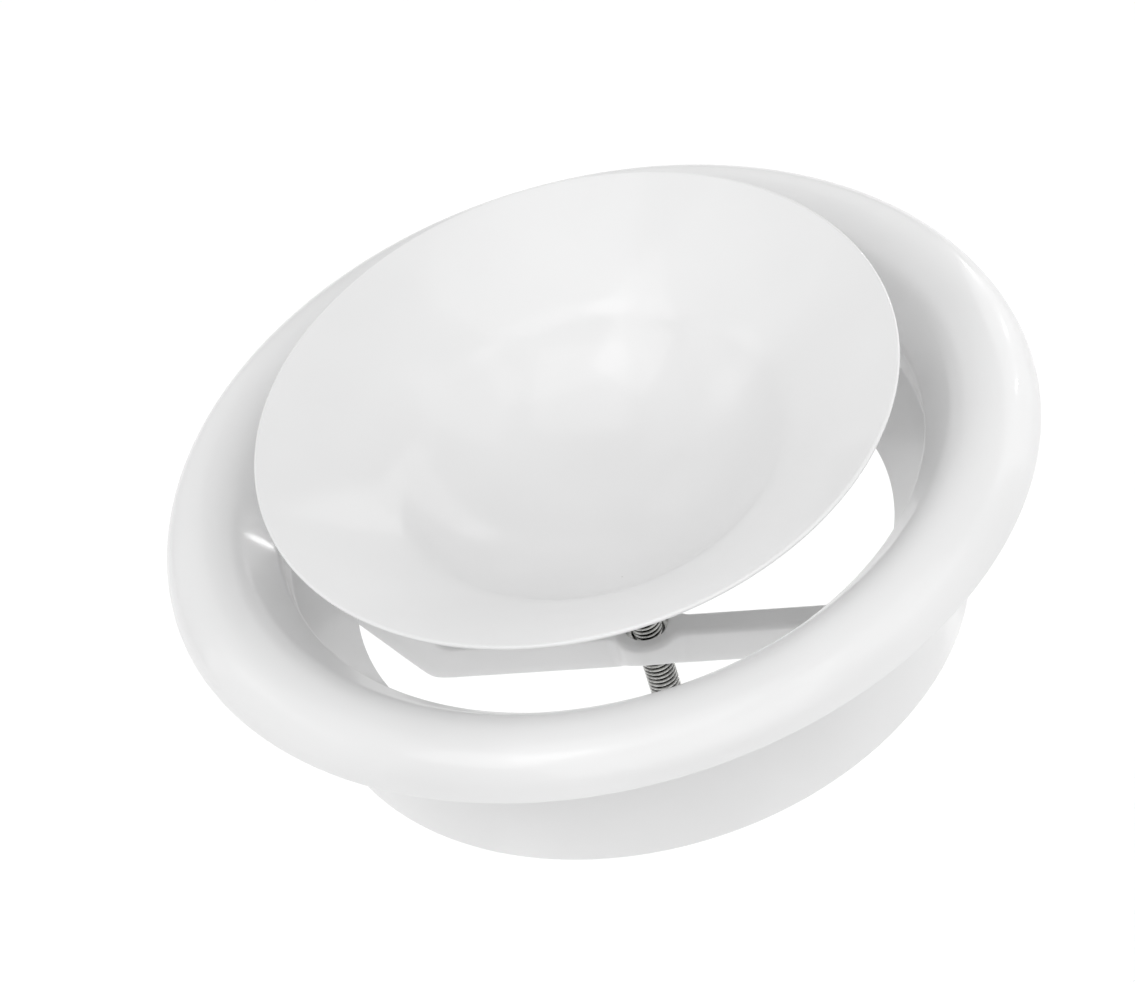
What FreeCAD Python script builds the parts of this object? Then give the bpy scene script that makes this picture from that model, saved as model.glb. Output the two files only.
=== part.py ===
"""Adjustable disc valve for a ceiling: the air diffuser that ends a round 125 mm duct.

Millimetres. The valve lies face up: +Z points out of its face, into the room. The origin is on the valve's axis, at
the upper end of the duct collar, half a millimetre inside the plane of the ceiling. The bridge that carries the dish
runs along X. The dish sits loosely on its spindle and leans a little towards -Y.
Each piece is a document object of its own, bound to the cells of the sheet called Sizes.
"""

import FreeCAD, Part
import os
import re

import Sketcher

SIZES = {
    # flange: a pressed ring with a half-round outer edge, a straight neck and a conical seat
    "sheet_steel": 0.9,
    "roll_centre": 71.66,
    "roll_radius": 9.34,
    "roll_cut": 5.7,
    "flank_angle": 44.0,
    "neck_radius": 59.6,
    "seat_radius": 50.4,
    "seat_low": -19.5,
    "seat_angle": 56.0,
    # duct collar: a rolled sleeve spot-welded to the neck
    "collar_radius": 61.7,
    "collar_wall": 0.85,
    "collar_depth": 35.1,
    # foam ring inside the flange's edge
    "ceiling_plane": 0.5,
    "gasket_inner": 66.5,
    "gasket_outer": 75.0,
    "gasket_top": 6.3,
    # dish
    "fold_radius": 36.26,
    "fold_height": 7.1,
    "bowl_edge_angle": 46.0,
    "cone_angle": 30.9,
    "rim_radius": 59.0,
    "dish_lean": 2.45,
    # stud plate under the dish, which traps the spindle's head
    "plate_sheet": 1.2,
    "plate_radius": 13.0,
    "plate_pocket": 7.2,
    "plate_hole": 3.25,
    "spindle_head_radius": 6.0,
    "spindle_head": 1.2,
    "head_play": 0.3,
    # bridge: a pressed channel with a round hub, bent up at both ends into tabs welded to the back of the seat
    "bridge_top": -38.6,
    "bridge_sheet": 1.2,
    "bridge_width": 5.4,
    "skirt_sheet": 1.0,
    "skirt_height": 8.3,
    "skirt_start": -26.0,
    "skirt_fade": -17.0,
    "hub_radius": 6.7,
    "hub_depth": 4.4,
    "hub_hole": 4.2,
    "tab_top": -10.0,
    "tab_width": 9.0,
    # M6 x 1 spindle with its bush, nuts and washers
    "thread_radius": 3.0,
    "thread_clearance": 0.06,
    "spindle_end": -73.5,
    "bush_radius": 5.2,
    "bush_length": 4.2,
    "washer_bore": 3.2,
    "washer_radius": 6.0,
    "washer_sheet": 1.0,
    "nut_flats": 10.0,
    "thin_nut": 3.2,
    "full_nut": 5.0,
    "stop_washer_top": -64.5,
    # air left between two pieces that lie against each other
    "contact_gap": 0.05,
}

# The direction, in degrees from +X towards +Z, in which each stretch of the flange's section runs.
FLANK = "(270 - flank_angle)"
NECK = "270"
SEAT = "(180 + seat_angle)"

BRIDGE_ROUNDING = 0.8
SKIRT_CORNER_ROUNDING = 1.5

doc = FreeCAD.newDocument("DiscValve")


def make_sheet():
    """The driving dimensions, one aliased cell each."""
    sheet = doc.addObject("Spreadsheet::Sheet", "Sizes")
    for row, (name, size) in enumerate(SIZES.items(), start=1):
        sheet.set(f"A{row}", name)
        sheet.set(f"B{row}", str(size))
        sheet.setAlias(f"B{row}", name)
    doc.recompute()
    return sheet


sizes = make_sheet()


def cell_names(text):
    """The expression with each size written as a reference to its cell."""
    return re.sub(r"[a-z_]{4,}", lambda m: f"Sizes.{m[0]}" if m[0] in SIZES else m[0], text)


def value(text):
    """What an expression comes to now."""
    return float(sizes.evalExpression(text))


def bind(piece, **properties):
    """Ties properties to expressions; a double underscore stands for the dot inside a property's path."""
    for name, text in properties.items():
        piece.setExpression(name.replace("__", "."), cell_names(text))


def beside(point, before, after, gap):
    """The corner that lies gap to the left of a path's corner, where the path turns from one direction to another."""
    mean = f"(({before}) + ({after})) / 2"
    half = f"(({after}) - ({before})) / 2"
    return (
        f"{point[0]} - ({gap}) * sin({mean}) / cos({half})",
        f"{point[1]} + ({gap}) * cos({mean}) / cos({half})",
    )


# ---- sketches and features ----


def arc_between(start, end, radius, turn):
    """A short arc from start to end: anticlockwise where turn is 1, clockwise where it is -1."""
    chord = end - start
    across = FreeCAD.Vector(-chord.y, chord.x, 0).normalize()
    rise = max(radius**2 - (chord.Length / 2) ** 2, 0) ** 0.5
    centre = (start + end) / 2 + across * rise * turn
    middle = centre - across * radius * turn
    return Part.Arc(start, middle, end) if turn == 1 else Part.Arc(end, middle, start)


def fix_point(sketch, where, text, axis):
    """Holds one coordinate of a sketch point at an expression."""
    if text == "0":
        sketch.addConstraint(Sketcher.Constraint("PointOnObject", *where, -2 if axis == "X" else -1))
        return
    row = sketch.addConstraint(Sketcher.Constraint(f"Distance{axis}", -1, 1, *where, value(text)))
    sketch.setExpression(f"Constraints[{row}]", cell_names(text))


def origin_plane(body, role):
    return next(plane for plane in body.Origin.OriginFeatures if plane.Role == role)


def new_sketch(body, role, height=None):
    """An empty sketch on one of the body's own planes, raised by an expression if one is given."""
    sketch = body.newObject("Sketcher::SketchObject", f"{body.Name}_sketch")
    sketch.AttachmentSupport = [(origin_plane(body, role), "")]
    sketch.MapMode = "FlatFace"
    if height:
        bind(sketch, AttachmentOffset__Base__z=height)
    return sketch


def end_at(drawn, point):
    """The sketcher's number for the end of a line or arc that lies at a point: 1 for its start, 2 for its end."""
    return 1 if drawn.StartPoint.distanceToPoint(point) < 1e-6 else 2


def draw_outline(sketch, steps):
    """A closed outline. A step is (x, y), a line to that point, or (x, y, radius, turn), an arc to it."""
    points = [FreeCAD.Vector(value(step[0]), value(step[1]), 0) for step in steps]
    for index, step in enumerate(steps):
        start = points[index - 1]
        end = points[index]
        if len(step) == 2:
            sketch.addGeometry(Part.LineSegment(start, end))
        else:
            sketch.addGeometry(arc_between(start, end, value(step[2]), step[3]))
    for index, step in enumerate(steps):
        after = (index + 1) % len(steps)
        head = end_at(sketch.Geometry[index], points[index])
        next_tail = end_at(sketch.Geometry[after], points[index])
        sketch.addConstraint(Sketcher.Constraint("Coincident", index, head, after, next_tail))
        fix_point(sketch, (index, head), step[0], "X")
        fix_point(sketch, (index, head), step[1], "Y")
        if len(step) == 4:
            row = sketch.addConstraint(Sketcher.Constraint("Radius", index, value(step[2])))
            sketch.setExpression(f"Constraints[{row}]", cell_names(step[2]))
    return sketch


def draw_circle(sketch, radius):
    circle = sketch.addGeometry(Part.Circle(FreeCAD.Vector(), FreeCAD.Vector(0, 0, 1), value(radius)))
    sketch.addConstraint(Sketcher.Constraint("Coincident", circle, 3, -1, 1))
    row = sketch.addConstraint(Sketcher.Constraint("Radius", circle, value(radius)))
    sketch.setExpression(f"Constraints[{row}]", cell_names(radius))
    return sketch


def new_body(name):
    body = doc.addObject("PartDesign::Body", name)
    body.Label = name
    return body


def turned(name, steps):
    """A round piece: an outline in the XZ plane, x being the radius, turned about Z."""
    body = new_body(name)
    sketch = draw_outline(new_sketch(body, "XZ_Plane"), steps)
    turn = body.newObject("PartDesign::Revolution", f"{name}_turn")
    turn.Profile = sketch
    turn.ReferenceAxis = (sketch, ["V_Axis"])
    turn.Angle = 360
    doc.recompute()
    return body


def extruded(body, kind, sketch, length, symmetric=False, reverse=False):
    """A Pad or Pocket of a sketch, with a check that it changed the solid."""
    before = body.Shape.Volume if body.Tip else 0
    feature = body.newObject(f"PartDesign::{kind}", f"{body.Name}_{kind.lower()}")
    feature.Profile = sketch
    feature.Midplane = symmetric
    feature.Reversed = reverse
    bind(feature, Length=length)
    doc.recompute()
    assert abs(feature.Shape.Volume - before) > 1, f"{feature.Name} changes nothing"
    return feature


def rounded(body, radius, wanted):
    """A Fillet on the edges of the body's last feature for which wanted is true."""
    base = body.Tip
    names = [f"Edge{n}" for n, edge in enumerate(base.Shape.Edges, start=1) if wanted(edge)]
    fillet = body.newObject("PartDesign::Fillet", f"{body.Name}_rounding")
    fillet.Base = (base, names)
    fillet.Radius = radius
    doc.recompute()
    return fillet


# ---- flange, collar and gasket ----


def roll_point(radius, direction):
    """The place on the flange's rounded edge where a path round it runs in the given direction."""
    return (f"roll_centre + {radius} * sin({direction})", f"-({radius}) * cos({direction})")


def make_valve_body():
    """The flange: over the rounded edge, down the flank and the neck, and in along the seat."""
    outer_edge = "(90 + roll_cut)"
    flank_top = roll_point("roll_radius", FLANK)
    knee = ("neck_radius", f"({flank_top[1]} - ({flank_top[0]} - neck_radius) / tan(flank_angle))")
    seat_top = ("neck_radius", "(seat_low + (neck_radius - seat_radius) * tan(seat_angle))")
    seat_edge = ("seat_radius", "seat_low")
    inner_roll = "(roll_radius - sheet_steel)"
    return turned("valve_body", [
        (*roll_point("roll_radius", outer_edge),),
        ("roll_centre", "roll_radius", "roll_radius", 1),
        (*flank_top, "roll_radius", 1),
        knee,
        seat_top,
        seat_edge,
        (*beside(seat_edge, SEAT, SEAT, "sheet_steel"), "0.6 * sheet_steel", 1),
        beside(seat_top, NECK, SEAT, "sheet_steel"),
        beside(knee, FLANK, NECK, "sheet_steel"),
        roll_point(inner_roll, FLANK),
        ("roll_centre", inner_roll, inner_roll, -1),
        (*roll_point(inner_roll, outer_edge), inner_roll, -1),
    ])


def make_duct_collar():
    """The plain sleeve that goes into the duct, fitted over the flange's neck."""
    return turned("duct_collar", [
        ("collar_radius", "-collar_depth"),
        ("collar_radius", "0"),
        ("collar_radius - collar_wall", "0"),
        ("collar_radius - collar_wall", "-collar_depth"),
    ])


def make_foam_gasket():
    """A square foam strip inside the flange's edge; its lower face presses on the ceiling."""
    return turned("foam_gasket", [
        ("gasket_outer", "ceiling_plane"),
        ("gasket_outer", "gasket_top"),
        ("gasket_inner", "gasket_top"),
        ("gasket_inner", "ceiling_plane"),
    ])


# ---- dish, spindle and fasteners ----

BOWL = "(fold_radius / sin(bowl_edge_angle))"
BOWL_CENTRE = f"(fold_height + {BOWL} * cos(bowl_edge_angle))"
DISH_BOTTOM = f"({BOWL_CENTRE} - {BOWL} - sheet_steel)"
HEAD_TOP = f"({DISH_BOTTOM} - head_play)"
HEAD_BOTTOM = f"({HEAD_TOP} - spindle_head)"
PLATE_TOP = f"({HEAD_BOTTOM} - head_play)"
PLATE_BOTTOM = f"({PLATE_TOP} - plate_sheet)"
LEAN_CENTRE = f"({HEAD_TOP} - spindle_head / 2)"


def leaned(body):
    """The body tipped towards -Y by the dish's lean, about the middle of the spindle's head."""
    body.Placement.Rotation = FreeCAD.Rotation(FreeCAD.Vector(1, 0, 0), value("dish_lean"))
    bind(
        body,
        Placement__Rotation__Angle="dish_lean",
        Placement__Base__y=f"{LEAN_CENTRE} * sin(dish_lean)",
        Placement__Base__z=f"{LEAN_CENTRE} * (1 - cos(dish_lean))",
    )
    return body


def make_dish():
    """A sheet dish: a round bowl in the middle, a crisp fold, and a cone out to the rim."""
    fold = ("fold_radius", "fold_height")
    rim = ("(rim_radius - sheet_steel / 2)",
           "(fold_height + (rim_radius - sheet_steel / 2 - fold_radius) * tan(cone_angle))")
    under_bowl = f"({BOWL} + sheet_steel)"
    return turned("dish", [
        ("0", f"{BOWL_CENTRE} - {BOWL}"),
        (*fold, BOWL, 1),
        rim,
        (*beside(rim, "cone_angle", "cone_angle", "-sheet_steel"), "0.6 * sheet_steel", -1),
        beside(fold, "bowl_edge_angle", "cone_angle", "-sheet_steel"),
        ("0", f"{BOWL_CENTRE} - {under_bowl}", under_bowl, -1),
    ])


def make_stud_plate():
    """A pressed plate spot-welded under the bowl, with a flat pocket that holds the spindle's head."""
    top_sphere = f"({BOWL} + sheet_steel + contact_gap)"
    under_sphere = f"({top_sphere} + plate_sheet)"
    return turned("stud_plate", [
        ("plate_hole", PLATE_BOTTOM),
        ("plate_pocket + plate_sheet / 2", PLATE_BOTTOM),
        ("plate_radius", f"{BOWL_CENTRE} - sqrt(pow({under_sphere}; 2) - pow(plate_radius; 2))"),
        ("plate_radius", f"{BOWL_CENTRE} - sqrt(pow({top_sphere}; 2) - pow(plate_radius; 2))"),
        ("plate_pocket", f"{BOWL_CENTRE} - sqrt(pow({top_sphere}; 2) - pow(plate_pocket; 2))", top_sphere, -1),
        ("plate_pocket - plate_sheet / 2", PLATE_TOP),
        ("plate_hole", PLATE_TOP),
    ])


def make_spindle():
    """The M6 stud: a flat head under the dish, a threaded shank and a chamfered end."""
    chamfer = "thread_radius / 4"
    return turned("spindle", [
        ("0", "spindle_end"),
        (f"thread_radius - {chamfer}", "spindle_end"),
        ("thread_radius", f"spindle_end + {chamfer}"),
        ("thread_radius", HEAD_BOTTOM),
        ("spindle_head_radius", HEAD_BOTTOM),
        ("spindle_head_radius", HEAD_TOP),
        ("0", HEAD_TOP),
    ])


def make_washer(name, top):
    return turned(name, [
        ("washer_radius", f"{top} - washer_sheet"),
        ("washer_radius", top),
        ("washer_bore", top),
        ("washer_bore", f"{top} - washer_sheet"),
    ])


def make_nut(name, top, height):
    """A hexagon nut with its two rims of corners chamfered at 30 degrees."""
    prism = doc.addObject("Part::Prism", f"{name}_prism")
    prism.Polygon = 6
    bind(prism, Circumradius="nut_flats / 2 / cos(30)", Height=height, Placement__Base__z=f"{top} - {height}")
    corner = "(nut_flats / 2 / cos(30) + 0.2)"
    flat = "(nut_flats / 2 - 0.2)"
    drop = f"({corner} - {flat}) * tan(30)"
    bore = "thread_radius + thread_clearance"
    envelope = turned(f"{name}_envelope", [
        (flat, f"{top} - {height}"),
        (corner, f"{top} - {height} + {drop}"),
        (corner, f"{top} - {drop}"),
        (flat, top),
        (bore, top),
        (bore, f"{top} - {height}"),
    ])
    nut = doc.addObject("Part::MultiCommon", f"{name}_nut")
    nut.Shapes = [prism, envelope]
    nut.Label = name
    doc.recompute()
    return nut


# ---- bridge ----


def tab_x(depth, height):
    """Where a tab is at a height, at a depth behind its face, which lies against the back of the seat."""
    behind_seat = f"(sheet_steel + contact_gap + ({depth})) / sin(seat_angle)"
    return f"(seat_radius + {behind_seat} + (({height}) - seat_low) / tan(seat_angle))"


def both_sides(right_half):
    """An outline from its right half: the same steps mirrored in x follow in reverse order."""
    return right_half + [(f"-({x})", z) for x, z in reversed(right_half)]


def channel_outline():
    """The bridge seen from the side: top of the web, tabs, and the lower edge of the skirts."""
    return both_sides([
        (tab_x("0", "bridge_top"), "bridge_top"),
        (tab_x("0", "tab_top"), "tab_top"),
        (tab_x("bridge_sheet", "tab_top"), "tab_top"),
        (tab_x("bridge_sheet", "skirt_fade"), "skirt_fade"),
        (tab_x("skirt_height", "skirt_start"), "skirt_start"),
        (tab_x("skirt_height", "bridge_top - skirt_height"), "(bridge_top - skirt_height)"),
    ])


def hollow_outline():
    """What is pressed out of the channel from below, past the edges of its skirts."""
    return both_sides([
        (tab_x("bridge_sheet", "bridge_top - bridge_sheet"), "(bridge_top - bridge_sheet)"),
        (tab_x("bridge_sheet", "skirt_fade"), "skirt_fade"),
        (tab_x("skirt_height * 2", "skirt_fade"), "skirt_fade"),
        (tab_x("skirt_height * 2", "bridge_top - skirt_height * 2"), "(bridge_top - skirt_height * 2)"),
    ])


def tab_outline():
    """A tab's own sheet, seen from the side."""
    return [
        (tab_x("0", "skirt_fade"), "skirt_fade"),
        (tab_x("0", "tab_top"), "tab_top"),
        (tab_x("bridge_sheet", "tab_top"), "tab_top"),
        (tab_x("bridge_sheet", "skirt_fade"), "skirt_fade"),
    ]


def mirrored_outline(steps):
    return [(f"-({x})", z) for x, z in reversed(steps)]


def is_skirt_corner(edge):
    """Whether an edge runs along Y at one of the two lower corners of the skirts."""
    box = edge.BoundBox
    low = value("bridge_top - skirt_height")
    return box.XLength < 1e-6 and abs(box.ZMin - low) < 1e-6 and abs(box.ZMax - low) < 1e-6 and box.YLength > 1


def is_long_bend(edge):
    """Whether an edge is one of the two along the web's top, where the skirts fold down."""
    box = edge.BoundBox
    top = value("bridge_top")
    return box.YLength < 1e-6 and abs(box.ZMin - top) < 1e-6 and abs(box.ZMax - top) < 1e-6 and box.XLength > 1


def make_bridge():
    """The stirrup that carries the spindle: a channel with a hub, bent up at both ends into tabs."""
    body = new_body("bridge")
    side_view = draw_outline(new_sketch(body, "XZ_Plane"), channel_outline())
    extruded(body, "Pad", side_view, "bridge_width", symmetric=True)
    rounded(body, SKIRT_CORNER_ROUNDING, is_skirt_corner)
    rounded(body, BRIDGE_ROUNDING, is_long_bend)
    hub = draw_circle(new_sketch(body, "XY_Plane", "bridge_top"), "hub_radius")
    extruded(body, "Pad", hub, "hub_depth", reverse=True)
    for outline in (tab_outline(), mirrored_outline(tab_outline())):
        tab = draw_outline(new_sketch(body, "XZ_Plane"), outline)
        extruded(body, "Pad", tab, "tab_width", symmetric=True)
    hub_inside = draw_circle(new_sketch(body, "XY_Plane", "bridge_top - bridge_sheet"), "hub_radius - skirt_sheet")
    extruded(body, "Pocket", hub_inside, "skirt_height")
    hollow = draw_outline(new_sketch(body, "XZ_Plane"), hollow_outline())
    extruded(body, "Pocket", hollow, "bridge_width - 2 * skirt_sheet", symmetric=True)
    hole = draw_circle(new_sketch(body, "XY_Plane", "bridge_top"), "hub_hole")
    extruded(body, "Pocket", hole, "bridge_sheet")
    return body


def make_bush():
    """The round weld bush under the hub: its thread carries the spindle."""
    top = "bridge_top - bridge_sheet - contact_gap"
    bore = "thread_radius + thread_clearance"
    return turned("threaded_bush", [
        ("bush_radius", f"{top} - bush_length"),
        ("bush_radius", top),
        (bore, top),
        (bore, f"{top} - bush_length"),
    ])


# ---- the whole valve ----

LOCK_NUT_TOP = f"({PLATE_BOTTOM} - 10 * contact_gap)"
LOCK_WASHER_TOP = f"({LOCK_NUT_TOP} - thin_nut - contact_gap)"


def make_pieces():
    return [
        make_valve_body(),
        make_duct_collar(),
        make_foam_gasket(),
        make_bridge(),
        make_bush(),
        leaned(make_dish()),
        leaned(make_stud_plate()),
        make_spindle(),
        make_nut("lock_nut", LOCK_NUT_TOP, "thin_nut"),
        make_washer("lock_washer", LOCK_WASHER_TOP),
        make_washer("stop_washer", "stop_washer_top"),
        make_nut("stop_nut", "stop_washer_top - washer_sheet - contact_gap", "full_nut"),
    ]


def check(pieces):
    """Stops on a failed feature or a bad solid, and lists what was made."""
    for item in doc.Objects:
        assert not {"Invalid", "Error"} & set(item.State), f"{item.Name} failed"
    for piece in pieces:
        shape = piece.Shape
        assert not shape.isNull() and shape.isValid() and shape.Solids, f"{piece.Label} is not a solid"
        print(f"{piece.Label:16} solids {len(shape.Solids)}  volume {shape.Volume:9.1f} mm3  {shape.BoundBox}")


def export(pieces):
    os.makedirs("parts", exist_ok=True)
    for piece in pieces:
        piece.Shape.exportStep(os.path.join("parts", f"{piece.Label}.step"))


all_pieces = make_pieces()
doc.recompute()
check(all_pieces)
export(all_pieces)
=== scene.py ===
"""Ceiling air diffuser: a round disc valve, lying face up.

Lengths are millimetres in the tables and metres in the meshes. The frame is the CAD's: +Z points out of the
valve's face, the origin is on its axis at the upper end of the duct collar, and the bridge that carries the
dish runs along X. Every piece is a new mesh with the radii, rounded edges and threads that the CAD leaves out,
and stands for one CAD node.
"""

import math

import bmesh
import bpy
from mathutils import Matrix, Quaternion, Vector


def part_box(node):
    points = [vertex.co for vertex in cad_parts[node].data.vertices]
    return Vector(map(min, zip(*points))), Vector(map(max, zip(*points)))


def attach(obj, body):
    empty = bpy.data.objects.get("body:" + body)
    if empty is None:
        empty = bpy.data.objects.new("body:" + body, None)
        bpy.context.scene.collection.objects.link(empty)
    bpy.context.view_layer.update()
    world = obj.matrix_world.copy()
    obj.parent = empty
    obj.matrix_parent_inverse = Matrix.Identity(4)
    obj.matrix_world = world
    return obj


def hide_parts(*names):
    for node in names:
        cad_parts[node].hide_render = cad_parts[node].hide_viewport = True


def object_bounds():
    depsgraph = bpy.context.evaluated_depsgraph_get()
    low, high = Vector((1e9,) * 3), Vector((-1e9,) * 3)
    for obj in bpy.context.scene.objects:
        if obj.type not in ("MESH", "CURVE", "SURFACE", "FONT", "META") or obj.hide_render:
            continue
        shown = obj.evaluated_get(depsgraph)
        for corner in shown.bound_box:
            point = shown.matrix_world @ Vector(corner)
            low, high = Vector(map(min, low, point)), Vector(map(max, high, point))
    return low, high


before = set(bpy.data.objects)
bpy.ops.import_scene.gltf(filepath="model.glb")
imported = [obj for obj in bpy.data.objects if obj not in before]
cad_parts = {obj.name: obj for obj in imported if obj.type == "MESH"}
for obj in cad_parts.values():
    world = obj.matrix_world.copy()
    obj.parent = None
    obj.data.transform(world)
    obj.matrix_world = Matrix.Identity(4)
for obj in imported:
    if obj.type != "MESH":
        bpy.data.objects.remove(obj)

CAD_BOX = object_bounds()
MM = 0.001
TURN = 2 * math.pi
ROUND_STEPS = 288


def extent(node):
    """The radius, bottom and top of a round CAD node, in millimetres."""
    low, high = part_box(node)
    return high.x / MM, low.z / MM, high.z / MM


# ---- outlines ----


def arc(centre, radius, start, end, steps):
    """Points of an arc, from one angle to another in degrees."""
    angles = [math.radians(start + (end - start) * n / steps) for n in range(steps + 1)]
    return [(centre[0] + radius * math.cos(a), centre[1] + radius * math.sin(a)) for a in angles]


def softened(corners, steps=6):
    """A closed outline from corners (x, y, rounding): each corner with a rounding becomes an arc."""
    outline = []
    for index, (x, y, rounding) in enumerate(corners):
        here = Vector((x, y))
        if not rounding:
            outline.append((x, y))
            continue
        back = (Vector(corners[index - 1][:2]) - here).normalized()
        ahead = (Vector(corners[(index + 1) % len(corners)][:2]) - here).normalized()
        half = back.angle(ahead) / 2
        middle = here + (back + ahead).normalized() * (rounding / math.sin(half))
        first = here + back * (rounding / math.tan(half)) - middle
        last = here + ahead * (rounding / math.tan(half)) - middle
        sweep = first.angle_signed(last)
        for n in range(steps + 1):
            outline.append(tuple(middle + Matrix.Rotation(-sweep * n / steps, 2) @ first))
    return outline


def offset_corner(corner, before, after, gap):
    """The corner gap to the left of a path's corner, where the path turns from one direction to another."""
    mean = math.radians(before + after) / 2
    reach = gap / math.cos(math.radians(after - before) / 2)
    return (corner[0] - reach * math.sin(mean), corner[1] + reach * math.cos(mean))


# ---- meshes ----


def add_mesh(name, points, faces, body, material, replaced, sharp=None):
    """A new piece in the row frame, in place of CAD nodes. Points are in millimetres."""
    mesh = bpy.data.meshes.new(name)
    mesh.from_pydata([tuple(c * MM for c in p) for p in points], [], faces)
    cleaned = bmesh.new()
    cleaned.from_mesh(mesh)
    bmesh.ops.remove_doubles(cleaned, verts=cleaned.verts, dist=1e-7)
    bmesh.ops.recalc_face_normals(cleaned, faces=cleaned.faces)
    cleaned.to_mesh(mesh)
    cleaned.free()
    mesh.shade_smooth()
    if sharp:
        mesh.set_sharp_from_angle(angle=math.radians(sharp))
    mesh.materials.append(material)
    piece = bpy.data.objects.new(name, mesh)
    bpy.context.scene.collection.objects.link(piece)
    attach(piece, body)
    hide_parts(*replaced)
    return piece


def grid_faces(rows, columns, closed_rows, closed_columns):
    """Quads between neighbouring rows and columns of a grid of points."""
    faces = []
    for row in range(rows if closed_rows else rows - 1):
        for column in range(columns if closed_columns else columns - 1):
            below = row * columns
            above = (row + 1) % rows * columns
            beside = (column + 1) % columns
            faces.append((below + column, below + beside, above + beside, above + column))
    return faces


def lathe_grid(outline, steps):
    """Points and quads of a closed outline turned about Z."""
    points = []
    for radius, height in outline:
        for n in range(steps):
            angle = TURN * n / steps
            points.append((radius * math.cos(angle), radius * math.sin(angle), height))
    return points, grid_faces(len(outline), steps, True, True)


def lathe(name, outline, body, material, replaced=None, steps=ROUND_STEPS, sharp=None):
    points, faces = lathe_grid(outline, steps)
    return add_mesh(name, points, faces, body, material, replaced or [name], sharp)


# ---- materials ----


class Nodes:
    """A material's node tree, with short ways to add and join nodes."""

    def __init__(self, name):
        self.material = bpy.data.materials.new(name)
        self.material.use_nodes = True
        self.tree = self.material.node_tree
        self.shader = self.tree.nodes["Principled BSDF"]
        self.place = self.add("ShaderNodeTexCoord").outputs["Object"]

    def add(self, kind, **settings):
        node = self.tree.nodes.new(kind)
        for key, setting in settings.items():
            setattr(node, key, setting)
        return node

    def join(self, source, target):
        self.tree.links.new(source, target)

    def noise(self, size, detail=2.0, stretch=(1, 1, 1)):
        """A noise whose blobs are about size millimetres across."""
        scaled = self.add("ShaderNodeMapping")
        scaled.inputs["Scale"].default_value = stretch
        self.join(self.place, scaled.inputs["Vector"])
        node = self.add("ShaderNodeTexNoise")
        node.inputs["Scale"].default_value = 1 / (size * MM)
        node.inputs["Detail"].default_value = detail
        self.join(scaled.outputs["Vector"], node.inputs["Vector"])
        return node.outputs["Fac"]

    def cells(self, size):
        """Round cells about size millimetres across."""
        node = self.add("ShaderNodeTexVoronoi")
        node.inputs["Scale"].default_value = 1 / (size * MM)
        self.join(self.place, node.inputs["Vector"])
        return node

    def spread(self, source, low, high, from_low=0.3, from_high=0.7):
        """A value brought from one range to another."""
        node = self.add("ShaderNodeMapRange")
        limits = {"From Min": from_low, "From Max": from_high, "To Min": low, "To Max": high}
        for key, setting in limits.items():
            node.inputs[key].default_value = setting
        self.join(source, node.inputs["Value"])
        return node.outputs["Result"]

    def math(self, operation, first, second):
        node = self.add("ShaderNodeMath", operation=operation)
        for socket, operand in zip(node.inputs, (first, second)):
            if isinstance(operand, (int, float)):
                socket.default_value = operand
            else:
                self.join(operand, socket)
        return node.outputs["Value"]

    def blend(self, amount, first, second):
        """A colour between two; each is a socket or a colour."""
        node = self.add("ShaderNodeMix", data_type="RGBA")
        self.join(amount, node.inputs["Factor"])
        for socket, colour in ((node.inputs["A"], first), (node.inputs["B"], second)):
            if isinstance(colour, tuple):
                socket.default_value = (*colour, 1)
            else:
                self.join(colour, socket)
        return node.outputs["Result"]

    def bump(self, height, distance, strength, under=None):
        """A surface raised by up to distance millimetres, on top of another bump if one is given."""
        node = self.add("ShaderNodeBump")
        node.inputs["Strength"].default_value = strength
        node.inputs["Distance"].default_value = distance * MM
        self.join(height, node.inputs["Height"])
        if under:
            self.join(under, node.inputs["Normal"])
        return node.outputs["Normal"]

    def finish(self, colour, roughness, normal, **uniform):
        """The finished material. The uniform settings go straight onto the shader's sockets."""
        self.join(colour, self.shader.inputs["Base Color"])
        self.join(roughness, self.shader.inputs["Roughness"])
        self.join(normal, self.shader.inputs["Normal"])
        for key, setting in uniform.items():
            self.shader.inputs[key.replace("_", " ")].default_value = setting
        return self.material


def white_powder_coat():
    """Glossy baked powder on steel: faint orange peel, a little unevenness, and a few specks of dust."""
    nodes = Nodes("white_powder_coat")
    cloudy = nodes.spread(nodes.noise(45), 0, 1)
    coat = nodes.blend(cloudy, (0.652, 0.652, 0.653), (0.692, 0.692, 0.693))
    specks = nodes.cells(6.5)
    near = nodes.math("LESS_THAN", specks.outputs["Distance"], 0.022)
    rare = nodes.add("ShaderNodeSeparateColor")
    nodes.join(specks.outputs["Color"], rare.inputs["Color"])
    chosen = nodes.math("MULTIPLY", near, nodes.math("GREATER_THAN", rare.outputs["Red"], 0.975))
    colour = nodes.blend(chosen, coat, (0.22, 0.20, 0.18))
    roughness = nodes.spread(nodes.noise(9), 0.30, 0.40)
    peel = nodes.bump(nodes.noise(1.6, 1.0), 0.012, 0.5)
    normal = nodes.bump(nodes.noise(14, 0.5), 0.06, 0.5, peel)
    return nodes.finish(colour, roughness, normal, Coat_Weight=0.5, Coat_Roughness=0.10)


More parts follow.
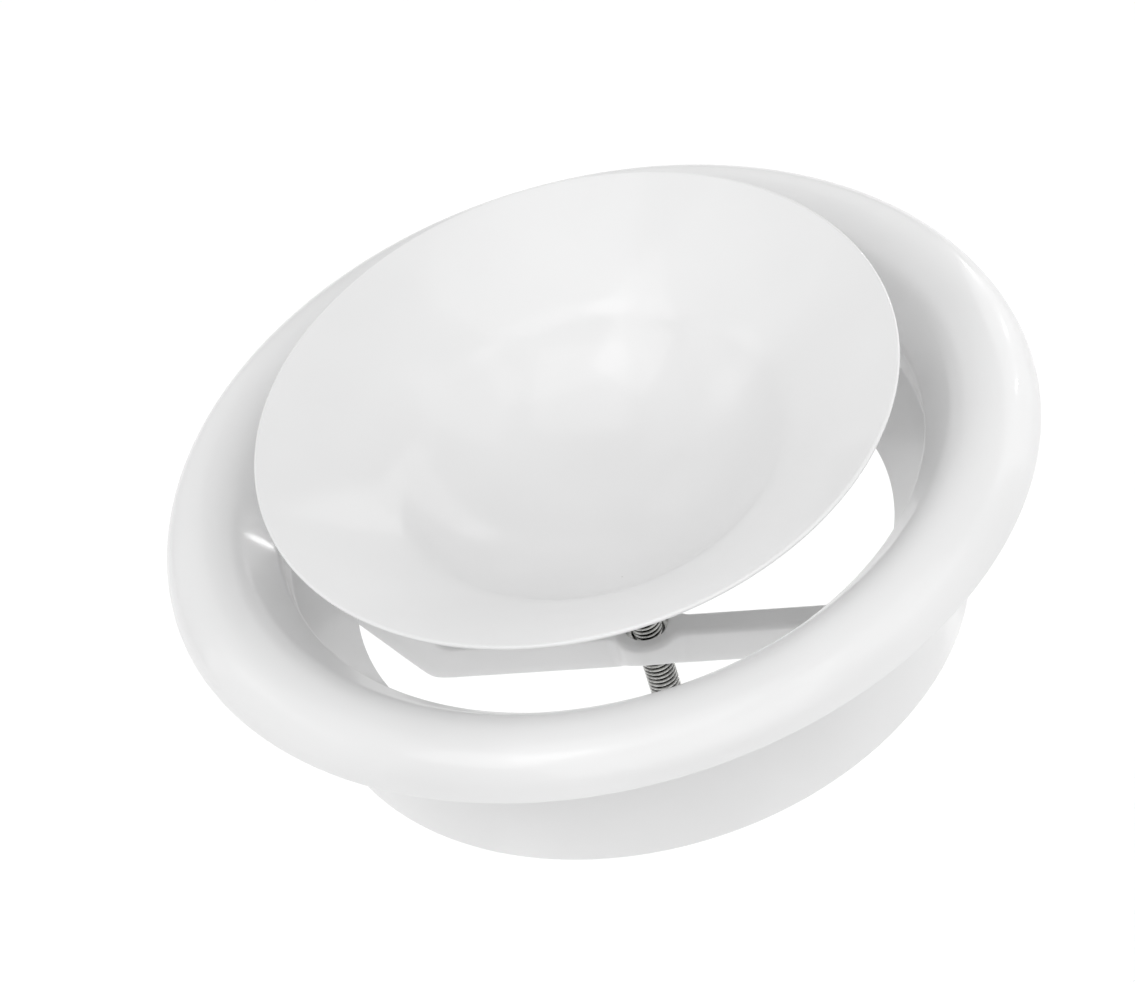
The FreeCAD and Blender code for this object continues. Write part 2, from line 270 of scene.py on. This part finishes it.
def bright_zinc():
    """Bright zinc plate on turned and pressed steel: cloudy sheen with fine marks from the tools."""
    nodes = Nodes("bright_zinc")
    patches = nodes.spread(nodes.noise(2.2, 4.0), 0, 1)
    colour = nodes.blend(patches, (0.50, 0.50, 0.49), (0.70, 0.70, 0.68))
    roughness = nodes.spread(nodes.noise(1.2, 3.0), 0.22, 0.38)
    marks = nodes.noise(0.5, 3.0, stretch=(1, 1, 5))
    normal = nodes.bump(marks, 0.01, 0.4)
    return nodes.finish(colour, roughness, normal, Metallic=1.0)


def zinc_thread_painted_shade():
    """Bright zinc on the thread's crests, with painted shade darkening it towards its roots."""
    nodes = Nodes("zinc_thread_painted_shade")
    across = nodes.add("ShaderNodeSeparateXYZ")
    nodes.join(nodes.place, across.inputs["Vector"])
    squares = [nodes.math("MULTIPLY", across.outputs[axis], across.outputs[axis]) for axis in ("X", "Y")]
    from_axis = nodes.math("SQRT", nodes.math("ADD", *squares), 0)
    patches = nodes.spread(nodes.noise(1.4, 4.0), 0, 1)
    zinc = nodes.blend(patches, (0.52, 0.52, 0.51), (0.74, 0.74, 0.72))
    # Painted shade: nearer the axis than 2.58 mm the thread is painted near black, and it turns to bright zinc
    # by 2.90 mm.
    unshaded_crests = nodes.spread(from_axis, 0, 1, 2.58 * MM, 2.90 * MM)
    colour = nodes.blend(unshaded_crests, (0.02, 0.019, 0.017), zinc)
    roughness = nodes.spread(nodes.noise(1.0, 3.0), 0.20, 0.34)
    normal = nodes.bump(nodes.noise(0.5, 3.0), 0.01, 0.4)
    return nodes.finish(colour, roughness, normal, Metallic=1.0)


def closed_cell_foam():
    """Closed-cell foam: fine open bubbles on the cut faces, no gloss."""
    nodes = Nodes("closed_cell_foam")
    cells = nodes.cells(0.9)
    colour = nodes.blend(cells.outputs["Distance"], (0.035, 0.035, 0.038), (0.115, 0.115, 0.12))
    roughness = nodes.spread(nodes.noise(3), 0.85, 0.97)
    normal = nodes.bump(cells.outputs["Distance"], 0.25, 0.8)
    return nodes.finish(colour, roughness, normal)


WHITE = white_powder_coat()
ZINC = bright_zinc()
THREAD = zinc_thread_painted_shade()
FOAM = closed_cell_foam()

# ---- flange, collar and foam ring ----

SHEET = 0.9
COLLAR_WALL = 0.85
FOAM_WIDTH = 8.5
ROLL_CENTRE = (71.66, 0.0)
ROLL_RADIUS = 9.32
ROLL_CUT = 5.9
FLANK_ANGLE = 44
NECK_RADIUS = 59.6
SEAT_RADIUS = 50.4
SEAT_LOW = -19.5
SEAT_ANGLE = 56
KNEE_ROUNDING = 3.0
SEAT_ROUNDING = 2.2
EDGE_ROUNDING = 0.25
SEAT_EDGE_ROUNDING = 0.3
TAN_SEAT = math.tan(math.radians(SEAT_ANGLE))


def flange_outline():
    """Face side from the outer edge over the roll, down flank and neck and in along the seat, then back."""
    flank_start = 180 - FLANK_ANGLE
    outer = arc(ROLL_CENTRE, ROLL_RADIUS, ROLL_CUT, flank_start, 48)
    inner = arc(ROLL_CENTRE, ROLL_RADIUS - SHEET, flank_start, ROLL_CUT, 48)
    top_x, top_z = outer[-1]
    knee = (NECK_RADIUS, top_z - (top_x - NECK_RADIUS) / math.tan(math.radians(FLANK_ANGLE)))
    seat_top = (NECK_RADIUS, SEAT_LOW + (NECK_RADIUS - SEAT_RADIUS) * TAN_SEAT)
    seat_edge = (SEAT_RADIUS, SEAT_LOW)
    flank, neck, seat = 270 - FLANK_ANGLE, 270, 180 + SEAT_ANGLE
    face_side = [(*knee, KNEE_ROUNDING), (*seat_top, SEAT_ROUNDING), (*seat_edge, SEAT_EDGE_ROUNDING)]
    back_side = [
        (*offset_corner(seat_edge, seat, seat, SHEET), SEAT_EDGE_ROUNDING),
        (*offset_corner(seat_top, neck, seat, SHEET), SEAT_ROUNDING + SHEET),
        (*offset_corner(knee, flank, neck, SHEET), KNEE_ROUNDING - SHEET),
    ]
    edge = [(x, z, 0) for x, z in outer]
    edge[0] = (*outer[0], EDGE_ROUNDING)
    back = [(x, z, 0) for x, z in inner]
    back[-1] = (*inner[-1], EDGE_ROUNDING)
    return softened(edge + face_side + back_side + back)


def sleeve_outline(node, wall, rounding):
    """A plain ring as tall as its CAD node, with its edges eased."""
    radius, bottom, top = extent(node)
    inner = radius - wall
    corners = [(radius, bottom), (radius, top), (inner, top), (inner, bottom)]
    return softened([(x, z, rounding) for x, z in corners])


lathe("flange", flange_outline(), "housing", WHITE, ["valve_body"], sharp=50)
collar = sleeve_outline("duct_collar", COLLAR_WALL, 0.3)
lathe("duct_collar_sleeve", collar, "housing", WHITE, ["duct_collar"], sharp=60)
foam = sleeve_outline("foam_gasket", FOAM_WIDTH, 0.5)
lathe("foam_ring", foam, "housing", FOAM, ["foam_gasket"], sharp=60)

# ---- dish, which leans about the middle of the spindle's head ----

FOLD = (36.26, 7.1)
BOWL_EDGE = 46
CONE = 30.9
RIM_RADIUS = 58.88
FOLD_ROUNDING = 22.0
BOWL_RADIUS = FOLD[0] / math.sin(math.radians(BOWL_EDGE))
BOWL_CENTRE = (0, FOLD[1] + BOWL_RADIUS * math.cos(math.radians(BOWL_EDGE)))
LEAN = 2.45
HEAD_SHEET = 1.2
HEAD_PLAY = 0.3
HEAD_TOP = BOWL_CENTRE[1] - BOWL_RADIUS - SHEET - HEAD_PLAY


def fold_centre():
    """The centre of the rounding that joins the bowl to the cone; it lies below the sheet."""
    cone = math.radians(CONE)
    outwards = Vector((math.cos(cone), math.sin(cone)))
    below = Vector((math.sin(cone), -math.cos(cone)))
    start = Vector(FOLD) + below * FOLD_ROUNDING - Vector(BOWL_CENTRE)
    reach = start.dot(outwards)
    excess = start.length_squared - (BOWL_RADIUS + FOLD_ROUNDING) ** 2
    return Vector(BOWL_CENTRE) + start + outwards * (math.sqrt(reach**2 - excess) - reach)


def dish_outline():
    """Upper side from the axis out over bowl, fold and cone, round the rim, and back underneath."""
    fold = fold_centre()
    towards_fold = fold - Vector(BOWL_CENTRE)
    bowl_end = math.degrees(math.atan2(towards_fold.y, towards_fold.x))
    upper_bowl = arc(BOWL_CENTRE, BOWL_RADIUS, -90, bowl_end, 36)
    upper_fold = arc(fold, FOLD_ROUNDING, bowl_end + 180, CONE + 90, 12)
    lower_fold = arc(fold, FOLD_ROUNDING - SHEET, CONE + 90, bowl_end + 180, 12)
    lower_bowl = arc(BOWL_CENTRE, BOWL_RADIUS + SHEET, bowl_end, -90, 36)
    upper_bowl[0] = (0, upper_bowl[0][1])
    lower_bowl[-1] = (0, lower_bowl[-1][1])
    rim_x = RIM_RADIUS - SHEET / 2
    rim_z = FOLD[1] + (rim_x - FOLD[0]) * math.tan(math.radians(CONE))
    under_rim = offset_corner((rim_x, rim_z), CONE, CONE, -SHEET)
    rim_centre = ((rim_x + under_rim[0]) / 2, (rim_z + under_rim[1]) / 2)
    rim = arc(rim_centre, SHEET / 2, CONE + 90, CONE - 90, 8)
    return upper_bowl + upper_fold[1:] + rim + lower_fold + lower_bowl[1:]


def stud_plate_outline():
    """The plate under the bowl, pressed down in the middle into a flat pocket."""
    radius, thick, hole, pocket = 13.0, 1.2, 3.25, 7.2
    floor_top = HEAD_TOP - HEAD_SHEET - HEAD_PLAY
    sphere = BOWL_RADIUS + SHEET + 0.05
    low = BOWL_CENTRE[1] - math.sqrt((sphere + thick) ** 2 - radius**2)
    high = BOWL_CENTRE[1] - math.sqrt(sphere**2 - radius**2)
    shoulder = BOWL_CENTRE[1] - math.sqrt(sphere**2 - pocket**2)
    return softened([
        (hole, floor_top - thick, 0.2),
        (pocket + thick / 2, floor_top - thick, 0.8),
        (radius, low, 0.3),
        (radius, high, 0.3),
        (pocket, shoulder, 0.3),
        (pocket - thick / 2, floor_top, 0.3),
        (hole, floor_top, 0.2),
    ])


def leaning_lathe(name, outline, material, replaced, steps, sharp=None):
    """A round piece of the dish, tipped by the dish's lean."""
    points, faces = lathe_grid(outline, steps)
    centre = Matrix.Translation((0, 0, HEAD_TOP - HEAD_SHEET / 2))
    tipped = centre @ Matrix.Rotation(math.radians(LEAN), 4, "X") @ centre.inverted()
    points = [tuple(tipped @ Vector(point)) for point in points]
    return add_mesh(name, points, faces, "dish_assembly", material, replaced, sharp)


leaning_lathe("dish_pressing", dish_outline(), WHITE, ["dish"], 384)
leaning_lathe("spindle_plate", stud_plate_outline(), ZINC, ["stud_plate"], 96, sharp=50)

# ---- spindle, nuts and washers ----

THREAD_RADIUS = 3.0
THREAD_BORE = 3.06
WASHER_BORE = 3.2
PITCH = 1.0
THREAD_DEPTH = 0.61
THREAD_FADE = 2.0
END_CHAMFER = 0.75
ROWS_PER_PITCH = 14


def thread_cut(phase):
    """How deep the thread is cut at a phase of its pitch: a flat crest, 60 degree flanks and a round root."""
    from_crest = abs(phase - 0.5) * 2
    ramp = min(max((1 - from_crest - 0.11) / 0.72, 0), 1)
    return THREAD_DEPTH * (ramp if ramp < 0.9 else 0.9 + 0.1 * math.sin((ramp - 0.9) / 0.1 * math.pi / 2))


def make_spindle():
    """A stud with a real helical thread, chamfered at its end, under a flat head."""
    head_radius, bottom, top = extent("spindle")
    columns = 64
    shank_top = top - HEAD_SHEET
    rows = round((shank_top - bottom) / PITCH * ROWS_PER_PITCH)
    points = [(0, 0, bottom)] * columns
    for row in range(rows + 1):
        height = bottom + (shank_top - bottom) * row / rows
        chamfer = max(END_CHAMFER - (height - bottom), 0)
        fade = min((shank_top - height) / THREAD_FADE, 1)
        for column in range(columns):
            angle = TURN * column / columns
            phase = (height / PITCH - column / columns) % 1
            radius = min(THREAD_RADIUS - thread_cut(phase) * fade, THREAD_RADIUS - chamfer)
            points.append((radius * math.cos(angle), radius * math.sin(angle), height))
    head = [
        (head_radius - 0.15, shank_top),
        (head_radius, shank_top + 0.15),
        (head_radius, top - 0.3),
        (head_radius - 0.3, top),
    ]
    for radius, height in head:
        for column in range(columns):
            angle = TURN * column / columns
            points.append((radius * math.cos(angle), radius * math.sin(angle), height))
    points += [(0, 0, top)] * columns
    faces = grid_faces(len(points) // columns, columns, False, True)
    return add_mesh("spindle_stud", points, faces, "dish_assembly", THREAD, ["spindle"], sharp=55)


def washer_outline(name):
    """A punched washer: rounder on its upper edges than on its lower ones."""
    radius, bottom, top = extent(name)
    return softened([
        (radius, bottom, 0.12),
        (radius, top, 0.3),
        (WASHER_BORE, top, 0.2),
        (WASHER_BORE, bottom, 0.12),
    ], steps=4)


def make_nut(name, body):
    """A hexagon nut: chamfered corners, and a countersunk bore."""
    _, bottom, top = extent(name)
    flats = 10.0
    countersink = 0.35
    chamfer_radius = flats / 2 - 0.2
    columns = 96
    points = []

    def ring(radius_at, height_at):
        for column in range(columns):
            angle = TURN * column / columns
            from_flat = (angle + TURN / 12) % (TURN / 6) - TURN / 12
            hexagon = flats / 2 / math.cos(TURN / 12 - abs(from_flat))
            radius = radius_at(hexagon)
            points.append((radius * math.cos(angle), radius * math.sin(angle), height_at(hexagon)))

    def drop(hexagon):
        return (hexagon - chamfer_radius) * math.tan(math.radians(30))

    ring(lambda _: THREAD_BORE, lambda _: bottom + countersink)
    ring(lambda _: THREAD_BORE + countersink, lambda _: bottom)
    ring(lambda _: chamfer_radius, lambda _: bottom)
    ring(lambda h: h - 0.08, lambda h: bottom + drop(h) - 0.05)
    ring(lambda h: h, lambda h: bottom + drop(h) + 0.08)
    ring(lambda h: h, lambda h: top - drop(h) - 0.08)
    ring(lambda h: h - 0.08, lambda h: top - drop(h) + 0.05)
    ring(lambda _: chamfer_radius, lambda _: top)
    ring(lambda _: THREAD_BORE + countersink, lambda _: top)
    ring(lambda _: THREAD_BORE, lambda _: top - countersink)
    faces = grid_faces(len(points) // columns, columns, True, True)
    return add_mesh(f"{name}_hexagon", points, faces, body, ZINC, [name], sharp=25)


make_spindle()
for washer, carriage in (("lock_washer", "nut_carriage"), ("stop_washer", "screw_carriage")):
    lathe(f"{washer}_ring", washer_outline(washer), carriage, ZINC, [washer], steps=96, sharp=50)
make_nut("lock_nut", "lock_nut_body")
make_nut("stop_nut", "dish_assembly")


def bush_outline():
    radius, bottom, top = extent("threaded_bush")
    return softened([
        (radius, bottom, 0.4),
        (radius, top, 0.2),
        (THREAD_BORE, top, 0.2),
        (THREAD_BORE, bottom, 0.4),
    ], steps=4)


lathe("bridge_bush", bush_outline(), "housing", ZINC, ["threaded_bush"], steps=96, sharp=50)

# ---- bridge ----

WEB_TOP = -38.6
WEB_SHEET = 1.2
SKIRT_SHEET = 1.0
SKIRT_DEPTH = 8.3
BAR_HALF = 2.7
TAB_HALF = 4.5
HUB_RADIUS = 6.7
HUB_DEPTH = 4.4
HUB_FILLET = 3.5
HUB_HOLE = 4.2
BEND_AT = 38.66
BEND_RADIUS = 2.5
BEND_TIGHTENING = 0.3
BEND_ROUNDING = 1.3
SKIRT_END = 20.8
SKIRT_GONE = 26.8
TAB_END = 34.4
TAB_CORNER = 1.6
LEAST_SKIRT = 0.02
SEAT_SLOPE = math.radians(SEAT_ANGLE)


def smooth_step(low, high, at):
    t = min(max((at - low) / (high - low), 0), 1)
    return t * t * (3 - 2 * t)


def half_width(along, bar, hub, tab):
    """Half the bridge's width at a distance from its middle, measured along its bent top.

    The bar's side meets the round hub in a fillet, widens smoothly to the tab, and ends in the tab's corner.
    """
    out = abs(along)
    fillet = HUB_FILLET + HUB_RADIUS - hub
    flare_end = math.sqrt((hub + fillet) ** 2 - (bar + fillet) ** 2)
    if out < flare_end * hub / (hub + fillet):
        return math.sqrt(hub**2 - out**2)
    if out < flare_end:
        return bar + fillet - math.sqrt(fillet**2 - (flare_end - out) ** 2)
    widened = bar + (tab - bar) * smooth_step(BEND_AT + SKIRT_END - 1, BEND_AT + SKIRT_GONE, out)
    from_end = BEND_AT + TAB_END - out
    if from_end < TAB_CORNER:
        widened -= TAB_CORNER - math.sqrt(max(TAB_CORNER**2 - (TAB_CORNER - from_end) ** 2, 0))
    return widened


def skirt_depth(along):
    """How far the skirts reach below the web's top: less round the hub, and hardly at all on the tabs."""
    if abs(along) < 2 * HUB_RADIUS:
        flare = half_width(along, BAR_HALF, HUB_RADIUS, TAB_HALF) - BAR_HALF
        return SKIRT_DEPTH - flare * (SKIRT_DEPTH - HUB_DEPTH) / (HUB_RADIUS - BAR_HALF)
    out = abs(along) - BEND_AT
    faded = min(max((out - SKIRT_END) / (SKIRT_GONE - SKIRT_END), 0), 1)
    return SKIRT_DEPTH + (WEB_SHEET + LEAST_SKIRT - SKIRT_DEPTH) * faded


def bent(along, across, depth):
    """A point of the straight channel, brought to where it is once both ends are bent up to the seat's slope.

    Each line along the channel turns on a weighted curve, which is tighter the further it is below the web.
    """
    side = 1 if along >= 0 else -1
    ahead = Vector((math.cos(SEAT_SLOPE), math.sin(SEAT_SLOPE)))
    below = Vector((math.sin(SEAT_SLOPE), -math.cos(SEAT_SLOPE)))
    reach = BEND_RADIUS * math.tan(SEAT_SLOPE / 2)
    past = abs(along) - BEND_AT
    if past < -reach:
        return (side * abs(along), across, WEB_TOP - depth)
    fold = Vector((BEND_AT, WEB_TOP))
    if past > reach:
        place = fold + ahead * past + below * depth
        return (side * place.x, across, place.y)
    first = fold + Vector((-reach, -depth))
    corner = fold + Vector((depth * math.tan(SEAT_SLOPE / 2), -depth))
    last = fold + ahead * reach + below * depth
    weight = math.cos(SEAT_SLOPE / 2) + BEND_TIGHTENING * depth
    t = (past + reach) / (2 * reach)
    shares = ((1 - t) ** 2, 2 * t * (1 - t) * weight, t * t)
    place = (first * shares[0] + corner * shares[1] + last * shares[2]) / sum(shares)
    return (side * place.x, across, place.y)


def channel_section(along):
    """The sheet's closed outline (across, depth) at one place: over the top, then back along the inside."""
    outer = half_width(along, BAR_HALF, HUB_RADIUS, TAB_HALF)
    inner = half_width(along, BAR_HALF - SKIRT_SHEET, HUB_RADIUS - SKIRT_SHEET, TAB_HALF - SKIRT_SHEET)
    depth = skirt_depth(along)
    hanging = depth - WEB_SHEET
    rounding = min(BEND_ROUNDING, 0.45 + hanging * 0.2)
    lip = (outer - inner) / 2
    lip_depth = min(lip, hanging)
    inside = min(0.3, hanging * 0.3)
    half = arc((outer - rounding, rounding), rounding, -90, 0, 6)
    straight = depth - lip_depth - rounding
    half += [(outer, rounding + straight * n / 3) for n in (1, 2)]
    for x, y in arc((0, 0), 1, 0, 180, 8):
        half.append((outer - lip + lip * x, depth - lip_depth + lip_depth * y))
    for x, y in arc((0, 0), 1, 0, -90, 4):
        half.append((inner - inside + inside * x, WEB_SHEET + inside + inside * y))
    half.append((inner * 0.5, WEB_SHEET))
    return half + [(-across, depth) for across, depth in reversed(half)]


def stations():
    """Distances along the bridge from its middle, closest together at the hub, bends and tab corners."""
    bend_from = BEND_AT - BEND_RADIUS * math.tan(SEAT_SLOPE / 2)
    bend_to = 2 * BEND_AT - bend_from
    tab_from = BEND_AT + TAB_END - TAB_CORNER
    places = [HUB_RADIUS * math.sin(math.radians(n)) for n in range(0, 88, 4)]
    places += [HUB_RADIUS + 0.25 * n for n in range(1, 8)]
    places += [9 + (bend_from - 9) * n / 8 for n in range(9)]
    places += [bend_from + (bend_to - bend_from) * n / 14 for n in range(1, 15)]
    places += [bend_to + (tab_from - bend_to) * n / 36 for n in range(1, 37)]
    places += [tab_from + TAB_CORNER * math.sin(math.radians(n)) for n in range(15, 90, 12)]
    places.append(BEND_AT + TAB_END - 0.02)
    return [-place for place in reversed(places[1:])] + places


def bored(points, faces, radius, low, high):
    """The mesh with an upright round hole cut through it, as new points and faces."""
    solid = bpy.data.meshes.new("solid")
    solid.from_pydata(points, [], faces)
    drill = bpy.data.meshes.new("drill")
    shape = bmesh.new()
    bmesh.ops.create_cone(shape, cap_ends=True, segments=96, radius1=radius, radius2=radius, depth=high - low)
    bmesh.ops.translate(shape, verts=shape.verts, vec=(0, 0, (low + high) / 2))
    shape.to_mesh(drill)
    shape.free()
    blank, cutter = (bpy.data.objects.new(mesh.name, mesh) for mesh in (solid, drill))
    for item in (blank, cutter):
        bpy.context.scene.collection.objects.link(item)
    cut = blank.modifiers.new("cut", "BOOLEAN")
    cut.operation, cut.solver, cut.object = "DIFFERENCE", "EXACT", cutter
    result = bpy.data.meshes.new_from_object(blank.evaluated_get(bpy.context.evaluated_depsgraph_get()))
    for item in (blank, cutter):
        bpy.data.objects.remove(item)
    return [tuple(v.co) for v in result.vertices], [tuple(f.vertices) for f in result.polygons]


def make_bridge():
    """The pressed stirrup: a channel with a round hub, bent up at both ends into tabs."""
    places = stations()
    points = []
    for along in places:
        section = channel_section(along)
        points += [bent(along, across, depth) for across, depth in section]
    faces = grid_faces(len(places), len(section), False, True)
    faces.append(tuple(range(len(section))))
    faces.append(tuple(reversed(range(len(points) - len(section), len(points)))))
    points, faces = bored(points, faces, HUB_HOLE, WEB_TOP - WEB_SHEET - 1, WEB_TOP + 1)
    return add_mesh("bridge_channel", points, faces, "housing", WHITE, ["bridge"], sharp=38)


make_bridge()

# ---- floor, light and camera ----

FLOOR_BELOW = 260
STAGE_SIZE = 14000


def make_floor():
    """A wide pale floor, so far under the valve that no shadow of it shows."""
    nodes = Nodes("studio_floor")
    tint = nodes.blend(nodes.spread(nodes.noise(900), 0, 1), (0.93, 0.93, 0.93), (0.95, 0.95, 0.95))
    roughness = nodes.spread(nodes.noise(300), 0.8, 0.9)
    nodes.join(tint, nodes.shader.inputs["Base Color"])
    nodes.join(roughness, nodes.shader.inputs["Roughness"])
    nodes.shader.inputs["Specular IOR Level"].default_value = 0.1
    half = STAGE_SIZE / 2
    level = CAD_BOX[0].z / MM - FLOOR_BELOW
    mesh = bpy.data.meshes.new("floor")
    corners = ((-half, -half), (half, -half), (half, half), (-half, half))
    mesh.from_pydata([(x * MM, y * MM, level * MM) for x, y in corners], [], [(0, 1, 2, 3)])
    mesh.materials.append(nodes.material)
    floor = bpy.data.objects.new("floor", mesh)
    bpy.context.scene.collection.objects.link(floor)


def make_world(strength):
    """White light from all round."""
    world = bpy.data.worlds.new("studio")
    world.use_nodes = True
    background = world.node_tree.nodes["Background"]
    background.inputs["Color"].default_value = (1, 1, 1, 1)
    background.inputs["Strength"].default_value = strength
    bpy.context.scene.world = world


def make_panel(name, size, power):
    """A rectangular light at the origin, facing down."""
    light = bpy.data.lights.new(name, "AREA")
    light.shape = "RECTANGLE"
    light.size, light.size_y = (side * MM for side in size)
    light.energy = power
    panel = bpy.data.objects.new(name, light)
    bpy.context.scene.collection.objects.link(panel)
    return panel


def make_light_table():
    """A light that faces up, under the valve."""
    table = make_panel("light_table", (TABLE_SIDE, TABLE_SIDE), TABLE_POWER)
    table.rotation_euler = (math.pi, 0, 0)
    table.location.z = CAD_BOX[0].z - (FLOOR_BELOW - TABLE_ABOVE_FLOOR) * MM


def make_softbox(name, azimuth, elevation, size, power):
    """A light that faces the valve. The azimuth is turned as the camera's is."""
    box = make_panel(name, size, power)
    towards = seen_from(azimuth, elevation)
    box.location = towards * LIGHT_DISTANCE * MM
    box.rotation_mode = "QUATERNION"
    box.rotation_quaternion = towards.to_track_quat("Z", "Y")


def seen_from(azimuth, elevation):
    """The direction from the object to something at an azimuth and elevation in degrees."""
    a, e = math.radians(azimuth), math.radians(elevation)
    return Vector((math.sin(a) * math.cos(e), -math.cos(a) * math.cos(e), math.sin(e)))


# Each softbox: azimuth and elevation in degrees, side in millimetres, power in watts.
SOFTBOXES = {
    "top": (0, 75, 1000, 3.0),
    "front_high": (20, 45, 1700, 7.6),
    "front_left_high": (-40, 55, 700, 2.6),
    "front_right": (30, 25, 1300, 3.0),
    "left": (-75, 12, 1500, 4.4),
    "left_high": (-90, 45, 1000, 1.4),
    "back_left": (-119, 18, 1400, 2.6),
    "right": (100, 10, 1500, 3.6),
    "right_high": (85, 45, 1000, 2.0),
    "back_right": (145, 10, 1200, 4.8),
    "behind": (180, 15, 1000, 1.1),
}
# Small strip lamps behind, which leave the short streaks on the flange's flank: azimuth and elevation.
STRIPS = {
    "strip_right": (143, 13),
    "strip_middle": (154, 6),
    "strip_back": (166, -1),
    "strip_left": (-162, 10),
}
STRIP_SIZE = (20, 110)
STRIP_POWER = 0.25
LIGHT_DISTANCE = 1500
# A light table just above the floor shines up into the collar: side in millimetres, power in watts.
TABLE_SIDE = 450
TABLE_POWER = 0.2
TABLE_ABOVE_FLOOR = 30

CAMERA_AZIMUTH = 20
CAMERA_ELEVATION = 41.4
CAMERA_ROLL = -17.8
CAMERA_DISTANCE = 905
CAMERA_LENS = 158.6
AIM_SHIFT = (-5.82, -2.75)


def make_camera():
    """Looks down on the face from the front right; the camera is rolled, so the valve leans to the left."""
    camera = bpy.data.objects.new("camera", bpy.data.cameras.new("camera"))
    camera.data.sensor_width = 36
    camera.data.lens = CAMERA_LENS
    back = seen_from(CAMERA_AZIMUTH, CAMERA_ELEVATION)
    upright = (-back).to_track_quat("-Z", "Y")
    rolled = upright @ Quaternion((0, 0, 1), math.radians(CAMERA_ROLL))
    aim = rolled @ Vector((*AIM_SHIFT, 0))
    camera.rotation_mode = "QUATERNION"
    camera.rotation_quaternion = rolled
    camera.location = (aim + back * CAMERA_DISTANCE) * MM
    camera.data.clip_start, camera.data.clip_end = 0.01, 100
    bpy.context.scene.collection.objects.link(camera)
    bpy.context.scene.camera = camera


make_floor()
make_world(0.55)
make_light_table()
for place, (azimuth, elevation, side, power) in SOFTBOXES.items():
    make_softbox(place, azimuth, elevation, (side, side), power)
for place, (azimuth, elevation) in STRIPS.items():
    make_softbox(place, azimuth, elevation, STRIP_SIZE, STRIP_POWER)
make_camera()
bpy.context.scene.view_settings.view_transform = "Standard"
